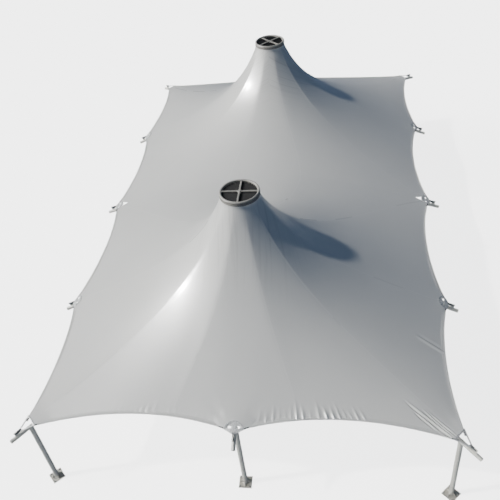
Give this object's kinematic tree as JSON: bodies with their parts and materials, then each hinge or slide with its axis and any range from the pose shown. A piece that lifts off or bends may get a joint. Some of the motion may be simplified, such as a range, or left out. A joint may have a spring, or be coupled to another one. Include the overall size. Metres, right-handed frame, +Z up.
{
  "type": "twin-cone tensile membrane canopy",
  "caption": "Free-standing white fabric canopy: a stretched membrane pulled up into cones by masts with open ring heads, its scalloped edge held by cables, plates and posts.",
  "frame": {"origin": "on the ground at the middle of the plan, halfway between the two masts", "axes": "+Z up; +Y along the canopy's long axis, from the front end to the rear end; +X to the right seen from the front"},
  "size_m": [12.8526, 21.4216, 7.007],
  "materials": {
    "membrane": "white coated polyester cloth with a satin lacquer, welded seams",
    "edge_cable": "galvanised steel rope inside a cloth pocket, bright swaged ends",
    "membrane_plate": "hot-dip galvanised steel plate",
    "edge_post": "light grey satin paint on steel tube",
    "mast": "light grey satin paint on steel tube",
    "ring_head": "grey paint on a rolled steel ring",
    "ring_screen": "dark coated wire mesh"
  },
  "bodies": {
    "root": {"membrane_front_end": "membrane", "membrane_front_right": "membrane", "membrane_front_left": "membrane", "membrane_front_valley": "membrane", "membrane_rear_end": "membrane", "membrane_rear_right": "membrane", "membrane_rear_left": "membrane", "membrane_rear_valley": "membrane", "edge_cable_front_right": "edge_cable", "edge_cable_front_left": "edge_cable", "edge_cable_rear_right": "edge_cable", "edge_cable_rear_left": "edge_cable", "edge_cable_right_front_outer": "edge_cable", "edge_cable_right_front_inner": "edge_cable", "edge_cable_right_rear_outer": "edge_cable", "edge_cable_right_rear_inner": "edge_cable", "edge_cable_left_front_outer": "edge_cable", "edge_cable_left_front_inner": "edge_cable", "edge_cable_left_rear_outer": "edge_cable", "edge_cable_left_rear_inner": "edge_cable", "membrane_plate_front_middle": "membrane_plate", "membrane_plate_front_right": "membrane_plate", "membrane_plate_front_left": "membrane_plate", "membrane_plate_rear_middle": "membrane_plate", "membrane_plate_rear_right": "membrane_plate", "membrane_plate_rear_left": "membrane_plate", "membrane_plate_right_middle": "membrane_plate", "membrane_plate_right_front": "membrane_plate", "membrane_plate_right_rear": "membrane_plate", "membrane_plate_left_middle": "membrane_plate", "membrane_plate_left_front": "membrane_plate", "membrane_plate_left_rear": "membrane_plate", "edge_post_front_middle": "edge_post", "edge_post_front_right": "edge_post", "edge_post_front_left": "edge_post", "edge_post_rear_middle": "edge_post", "edge_post_rear_right": "edge_post", "edge_post_rear_left": "edge_post", "edge_post_right_middle": "edge_post", "edge_post_right_front": "edge_post", "edge_post_right_rear": "edge_post", "edge_post_left_middle": "edge_post", "edge_post_left_front": "edge_post", "edge_post_left_rear": "edge_post", "mast_front": "mast", "mast_rear": "mast", "ring_head_front": "ring_head", "ring_head_rear": "ring_head", "ring_screen_front": "ring_screen", "ring_screen_rear": "ring_screen"}
  },
  "joints": []
}
